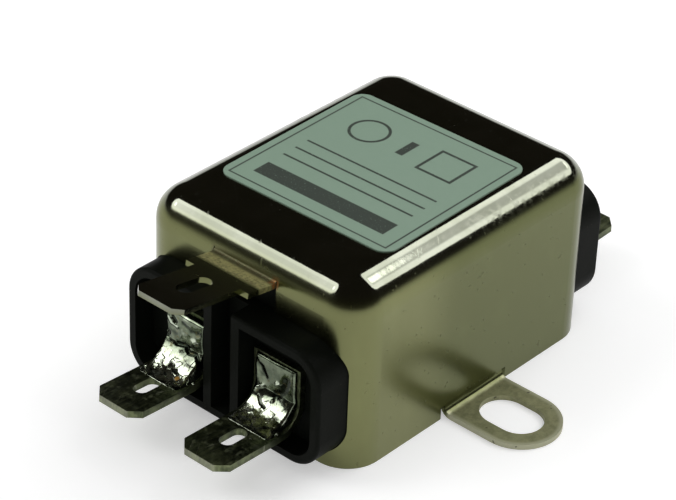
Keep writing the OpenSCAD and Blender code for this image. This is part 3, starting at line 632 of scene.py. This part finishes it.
def droplets(name, places, seed, material):
    """One mesh of closed lumps: each is a ball over two angles, stretched to its own sizes
    and made uneven by waves of its angles. A place holds a middle and sizes, in mm."""
    a, b = np.meshgrid(np.arange(AROUND) * 2 * math.pi / AROUND,
                       np.linspace(-math.pi / 2, math.pi / 2, UPWARDS + 1)[1:-1], indexing="ij")
    index = np.arange(a.size).reshape(a.shape)
    turned = np.roll(index, -1, 0)
    quads = np.stack([index[:, :-1], turned[:, :-1], turned[:, 1:], index[:, 1:]], -1)
    quads = quads.reshape(-1, 4)
    low_pole, high_pole = np.full(AROUND, a.size), np.full(AROUND, a.size + 1)
    caps = np.concatenate([np.stack([turned[:, 0], index[:, 0], low_pole], -1),
                           np.stack([index[:, -1], turned[:, -1], high_pole], -1)])
    numbers = np.random.default_rng(seed)
    points, faces = [], []
    for middle, sizes in places:
        waves = numbers.uniform(0, 6, 4)
        radius = (1 + 0.10 * np.sin(2 * a + waves[0]) * np.cos(b)
                  + 0.08 * np.sin(3 * a + waves[1]) * np.cos(b) ** 2)
        ball = np.stack([np.cos(a) * np.cos(b), np.sin(a) * np.cos(b), np.sin(b)], -1)
        ball = (ball * radius[..., None]).reshape(-1, 3)
        start = len(points) * (a.size + 2)
        points.append(np.concatenate([ball, [(0, 0, -1), (0, 0, 1)]]) * sizes + middle)
        faces += [quads + start, caps + start]
    piece = make_mesh(name, np.concatenate(points) * MM, *faces)
    piece.data.materials.append(material)
    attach(piece, "root")
    return piece


droplets("tin_splashes", [
    ((-23.75, 2.90, 5.0), (0.20, 0.16, 0.12)), ((-25.3, 8.2, 5.20), (0.12, 0.16, 0.08)),
    ((-23.73, -8.90, 4.80), (0.22, 0.17, 0.12)), ((-26.2, -7.6, 4.86), (0.10, 0.12, 0.07)),
    ((24.6, 4.4, 5.15), (0.18, 0.15, 0.10))], seed=5, material=tin)

amber, amber_shader, amber_tree = new_material("flux_drop")
depth = amber_tree.noise(2500, detail=3)
feed(amber_shader, Base_Color=amber_tree.mix(depth, *FLUX_COLOURS),
     Roughness=0.12 + depth * 0.1, Coat_Weight=0.4)
droplets("flux_bead", [((-24.30, 4.56, 5.10), (0.34, 0.30, 0.16))], seed=8, material=amber)

# ---- choke ---------------------------------------------------------------
# A ferrite ring, fired and coated, is wound on both sides with enamelled copper wire. A strip
# of pressed board is pushed through its middle and keeps the two windings apart.
FERRITE_COLOURS = (0.020, 0.022, 0.024), (0.050, 0.052, 0.056)
PRESSED_COLOURS = (0.46, 0.40, 0.24), (0.66, 0.60, 0.42)
ENAMEL_COLOURS = (0.30, 0.075, 0.018), (0.52, 0.17, 0.05)

ferrite, ferrite_shader, ferrite_tree = new_material("ferrite_coat")
pores = ferrite_tree.noise(3200, detail=4)
feed(ferrite_shader, Base_Color=ferrite_tree.mix(pores, *FERRITE_COLOURS),
     Roughness=0.55 + pores * 0.2, Normal=ferrite_tree.bump(pores, 0.03 * MM))
dress(ferrite, "choke_core")

pressed, pressed_shader, pressed_tree = new_material("pressed_board")
fibres = pressed_tree.noise(1, detail=4, vector=pressed_tree.stretched((2600, 2600, 500)))
feed(pressed_shader, Base_Color=pressed_tree.mix(fibres, *PRESSED_COLOURS),
     Roughness=0.8, Normal=pressed_tree.bump(fibres, 0.03 * MM))
dress(pressed, "core_divider")

enamel, enamel_shader, enamel_tree = new_material("enamelled_copper")
drag = enamel_tree.noise(1500, detail=4)
feed(enamel_shader, Base_Color=enamel_tree.mix(drag, *ENAMEL_COLOURS),
     Metallic=0.65, Roughness=0.24 + drag * 0.14, Coat_Weight=0.5,
     Normal=enamel_tree.bump(drag, 0.01 * MM))
dress(enamel, "winding_1", "winding_2")

# ---- capacitors ----------------------------------------------------------
# A moulded yellow box capacitor lies across the line, and two blue dipped discs join the line
# to the can. All three stand on leads of tinned copper.
CASE_COLOURS = (0.50, 0.31, 0.025), (0.60, 0.39, 0.040)
DIPPED_COLOURS = (0.012, 0.060, 0.26), (0.022, 0.095, 0.36)
TINNED_COLOURS = (0.42, 0.42, 0.39), (0.60, 0.60, 0.57)

case, case_shader, case_tree = new_material("capacitor_case")
sand = case_tree.noise(3000, detail=3)
feed(case_shader, Base_Color=case_tree.mix(sand, *CASE_COLOURS),
     Roughness=0.42 + sand * 0.1, Normal=case_tree.bump(sand, 0.01 * MM))
dress(case, "x_capacitor")

dipped, dipped_shader, dipped_tree = new_material("dipped_coat")
sag = dipped_tree.noise(600, detail=3)
feed(dipped_shader, Base_Color=dipped_tree.mix(sag, *DIPPED_COLOURS),
     Roughness=0.22 + sag * 0.12, Coat_Weight=0.3, Normal=dipped_tree.bump(sag, 0.05 * MM))
dress(dipped, "y_capacitor_1", "y_capacitor_2")

tinned, tinned_shader, tinned_tree = new_material("tinned_wire")
dull = tinned_tree.noise(1800, detail=4)
feed(tinned_shader, Base_Color=tinned_tree.mix(dull, *TINNED_COLOURS),
     Metallic=1.0, Roughness=0.24 + dull * 0.16, Normal=tinned_tree.bump(dull, 0.01 * MM))
dress(tinned, "x_capacitor_leads", "y_capacitor_leads", "resistor_leads")

# ---- resistor and lead joints --------------------------------------------
# A lacquered resistor with colour bands bleeds the box capacitor. Its leads and the others'
# are soldered with small drops to the windings' ends.
LACQUER_COLOURS = (0.08, 0.22, 0.34), (0.12, 0.29, 0.42)
BANDS = ((0.2, (0.25, 0.10, 0.03)), (0.38, (0.02, 0.02, 0.02)),
         (0.56, (0.40, 0.24, 0.01)), (0.8, (0.35, 0.24, 0.06)))
BAND_HALF, BAND_EDGE = 0.22 * MM, 0.04 * MM

lacquer, lacquer_shader, lacquer_tree = new_material("resistor_lacquer")
low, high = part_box("bleed_resistor")
y = lacquer_tree.parts(lacquer_tree.place())[1]
coat_flow = lacquer_tree.noise(1300, detail=3)
colour = lacquer_tree.mix(coat_flow, *LACQUER_COLOURS)
for share, band in BANDS:
    at = low.y + (high.y - low.y) * share
    colour = lacquer_tree.mix(y.within(at - BAND_HALF, at + BAND_HALF, BAND_EDGE), colour, band)
feed(lacquer_shader, Base_Color=colour, Roughness=0.28 + coat_flow * 0.12,
     Normal=lacquer_tree.bump(coat_flow, 0.01 * MM))
dress(lacquer, "bleed_resistor")
dress(tin, "lead_solder")

# ---- can joints ----------------------------------------------------------
# Each disc's outer lead ends in a drop of solder on the can's inner face. These two stand in
# for earth_solder, whose drop on the +Y side lies outside the can.
CAN_JOINT_X, CAN_JOINT_Y, CAN_JOINT_Z = 15.1, 13.66, 9.86
CAN_JOINT_SIZES = 1.32, 0.72, 1.32

can_drops = droplets("can_joint_drops",
                     [((CAN_JOINT_X, side * CAN_JOINT_Y, CAN_JOINT_Z), CAN_JOINT_SIZES)
                      for side in (-1, 1)], seed=3, material=tin)
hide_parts("earth_solder")

# ---- insulation ----------------------------------------------------------
# A sheet of varnished paper lies between the parts and the can, and black cast resin seals
# the open side.
PAPER_COLOURS = (0.50, 0.40, 0.18), (0.62, 0.52, 0.28)
RESIN_COLOURS = (0.006, 0.006, 0.007), (0.012, 0.012, 0.013)

varnished, varnished_shader, varnished_tree = new_material("varnished_paper")
weave = varnished_tree.noise(1, detail=4, vector=varnished_tree.stretched((500, 2400, 900)))
feed(varnished_shader, Base_Color=varnished_tree.mix(weave, *PAPER_COLOURS),
     Roughness=0.45 + weave * 0.15, Normal=varnished_tree.bump(weave, 0.02 * MM))
dress(varnished, "insulating_sheet")

cast, cast_shader, cast_tree = new_material("cast_resin")
swell = cast_tree.noise(160, detail=2)
pits = cast_tree.noise(1500, detail=2).smooth(0.70, 0.78)
feed(cast_shader, Base_Color=cast_tree.mix(swell, *RESIN_COLOURS),
     Roughness=0.16 + swell * 0.12 + pits * 0.3,
     Normal=cast_tree.bump(swell - pits * 0.4, 0.12 * MM))
dress(cast, "sealing_resin")
